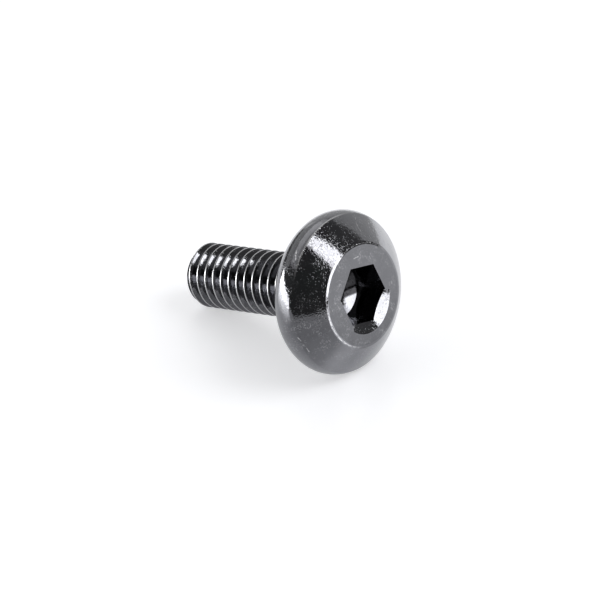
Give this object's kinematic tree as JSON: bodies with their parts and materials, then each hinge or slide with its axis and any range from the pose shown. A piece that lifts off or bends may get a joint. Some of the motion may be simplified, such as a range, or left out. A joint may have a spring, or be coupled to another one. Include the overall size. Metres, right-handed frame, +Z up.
{
  "type": "button head socket screw",
  "caption": "Black steel button head screw with a hexagon socket, a flat crown, a wide rounded rim and a fully threaded shank with a bevelled tip.",
  "frame": {"origin": "on the floor under the middle of the lying screw's box", "axes": "+Z up, the screw's axis in the XZ plane with the head towards +X, lying on its rim and thread tip"},
  "size_m": [0.0212, 0.015, 0.0146],
  "materials": {
    "black_steel": "black oxide steel, semi-gloss, worn bright at the edges"
  },
  "bodies": {
    "root": {"screw": "black_steel"}
  },
  "joints": []
}
